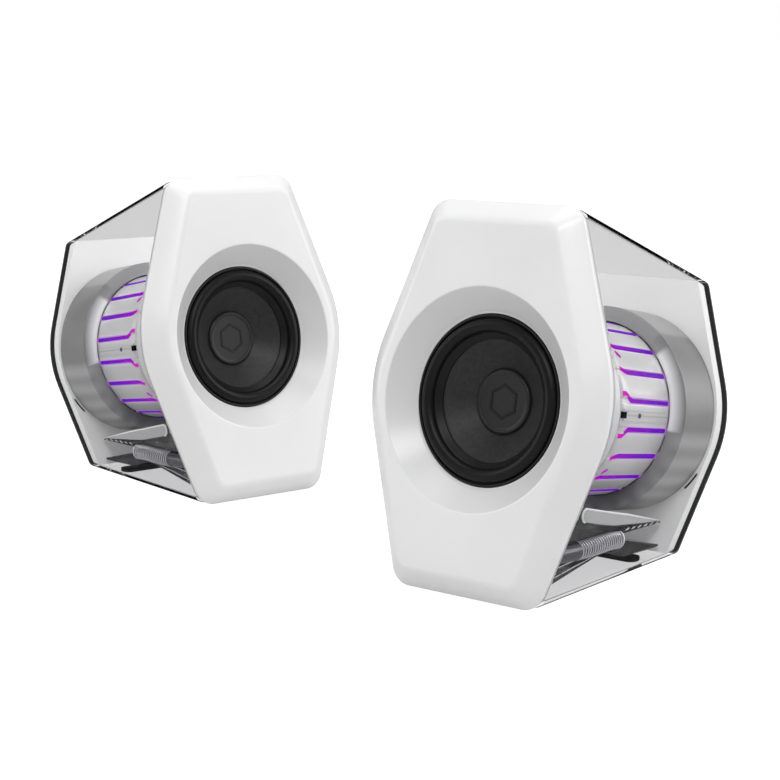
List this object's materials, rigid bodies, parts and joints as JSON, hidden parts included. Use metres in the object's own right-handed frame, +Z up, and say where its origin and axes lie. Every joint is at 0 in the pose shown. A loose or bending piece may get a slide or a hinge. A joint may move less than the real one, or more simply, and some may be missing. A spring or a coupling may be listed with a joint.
{
  "type": "desktop speakers",
  "caption": "Two small hexagonal desktop speakers with white dished front baffles, clear tapered shells and a lit drum inside, toed in towards the listener.",
  "frame": {"origin": "middle of the footprint of the pair, on the surface they stand on", "axes": "+X to the right as seen from the listener, +Y away from the listener, +Z up; each speaker is turned 39.5 degrees inward and the left one stands further back"},
  "size_m": [0.2628, 0.2804, 0.1304],
  "materials": {
    "white_plastic": "satin moulded ABS",
    "pale_plastic": "satin",
    "clear_plastic": "polished clear",
    "smoked_plastic": "polished, smoked",
    "satin_silver": "satin",
    "light_guide": "frosted, lit",
    "conduit_chrome": "polished ribs",
    "seal_rubber": "matte",
    "foot_rubber": "matte",
    "surround_rubber": "satin",
    "cone_paper": "coated pulp",
    "cap_plastic": "satin",
    "spider_cloth": "impregnated cloth",
    "coil_copper": "enamelled wire",
    "basket_steel": "black",
    "plate_steel": "zinc plated",
    "ferrite": "sintered",
    "circuit_board": "solder mask",
    "sink_aluminium": "extruded",
    "black_plastic": "fine grain",
    "knob_plastic": "satin",
    "button_plastic": "satin",
    "port_steel": "plated"
  },
  "bodies": {
    "right_speaker": {"right_front_baffle": "white_plastic", "right_rear_panel": "white_plastic", "right_shell_seal": "seal_rubber", "right_clear_shell": "clear_plastic", "right_driver_trim_ring": "black_plastic", "right_driver_basket": "basket_steel", "right_surround": "surround_rubber", "right_spider": "spider_cloth", "right_top_plate": "plate_steel", "right_magnet": "ferrite", "right_yoke": "plate_steel", "right_acoustic_chamber": "pale_plastic", "right_light_guide": "light_guide", "right_led_board": "circuit_board", "right_reflector_ring": "satin_silver", "right_cable_fairing": "smoked_plastic", "right_harness_conduit": "conduit_chrome", "right_link_socket": "black_plastic", "right_front_foot": "foot_rubber", "right_rear_foot": "foot_rubber", "main_board": "circuit_board", "heat_sink": "sink_aluminium", "volume_encoder": "plate_steel", "power_inlet": "black_plastic", "aux_jack": "black_plastic", "usb_port": "port_steel"},
    "left_speaker": {"left_front_baffle": "white_plastic", "left_rear_panel": "white_plastic", "left_shell_seal": "seal_rubber", "left_clear_shell": "clear_plastic", "left_driver_trim_ring": "black_plastic", "left_driver_basket": "basket_steel", "left_surround": "surround_rubber", "left_spider": "spider_cloth", "left_top_plate": "plate_steel", "left_magnet": "ferrite", "left_yoke": "plate_steel", "left_acoustic_chamber": "pale_plastic", "left_light_guide": "light_guide", "left_led_board": "circuit_board", "left_reflector_ring": "satin_silver", "left_cable_fairing": "smoked_plastic", "left_harness_conduit": "conduit_chrome", "left_link_socket": "black_plastic", "left_front_foot": "foot_rubber", "left_rear_foot": "foot_rubber"},
    "right_driver_cone": {"right_cone": "cone_paper", "right_dust_cap": "cap_plastic", "right_voice_coil": "coil_copper"},
    "left_driver_cone": {"left_cone": "cone_paper", "left_dust_cap": "cap_plastic", "left_voice_coil": "coil_copper"},
    "volume_control": {"volume_knob": "knob_plastic", "volume_shaft": "plate_steel"},
    "light_key": {"light_button": "button_plastic"},
    "source_key": {"source_button": "button_plastic"}
  },
  "joints": [
    {"name": "left_speaker_placement", "type": "slide", "parent": "right_speaker", "child": "left_speaker", "axis": [-1, 0, 0], "range_m": [0, 0.3]},
    {"name": "right_cone_travel", "type": "slide", "parent": "right_speaker", "child": "right_driver_cone", "axis": [-0.6272, -0.7608, 0.1668], "range_m": [-0.0025, 0.0025], "stiffness_N_per_m": 1500, "deforming": ["right_surround", "right_spider"]},
    {"name": "left_cone_travel", "type": "slide", "parent": "left_speaker", "child": "left_driver_cone", "axis": [0.6272, -0.7608, 0.1668], "range_m": [-0.0025, 0.0025], "stiffness_N_per_m": 1500, "deforming": ["left_surround", "left_spider"]},
    {"name": "volume_turn", "type": "hinge", "parent": "right_speaker", "child": "volume_control", "pos_m": [0.10904, -0.03161, 0.06094], "axis": [0.6272, 0.7608, -0.1668], "range_deg": [-150, 150]},
    {"name": "light_press", "type": "slide", "parent": "right_speaker", "child": "light_key", "axis": [-0.6272, -0.7608, 0.1668], "range_m": [0, 0.0008], "stiffness_N_per_m": 1500},
    {"name": "source_press", "type": "slide", "parent": "right_speaker", "child": "source_key", "axis": [-0.6272, -0.7608, 0.1668], "range_m": [0, 0.0008], "stiffness_N_per_m": 1500}
  ]
}
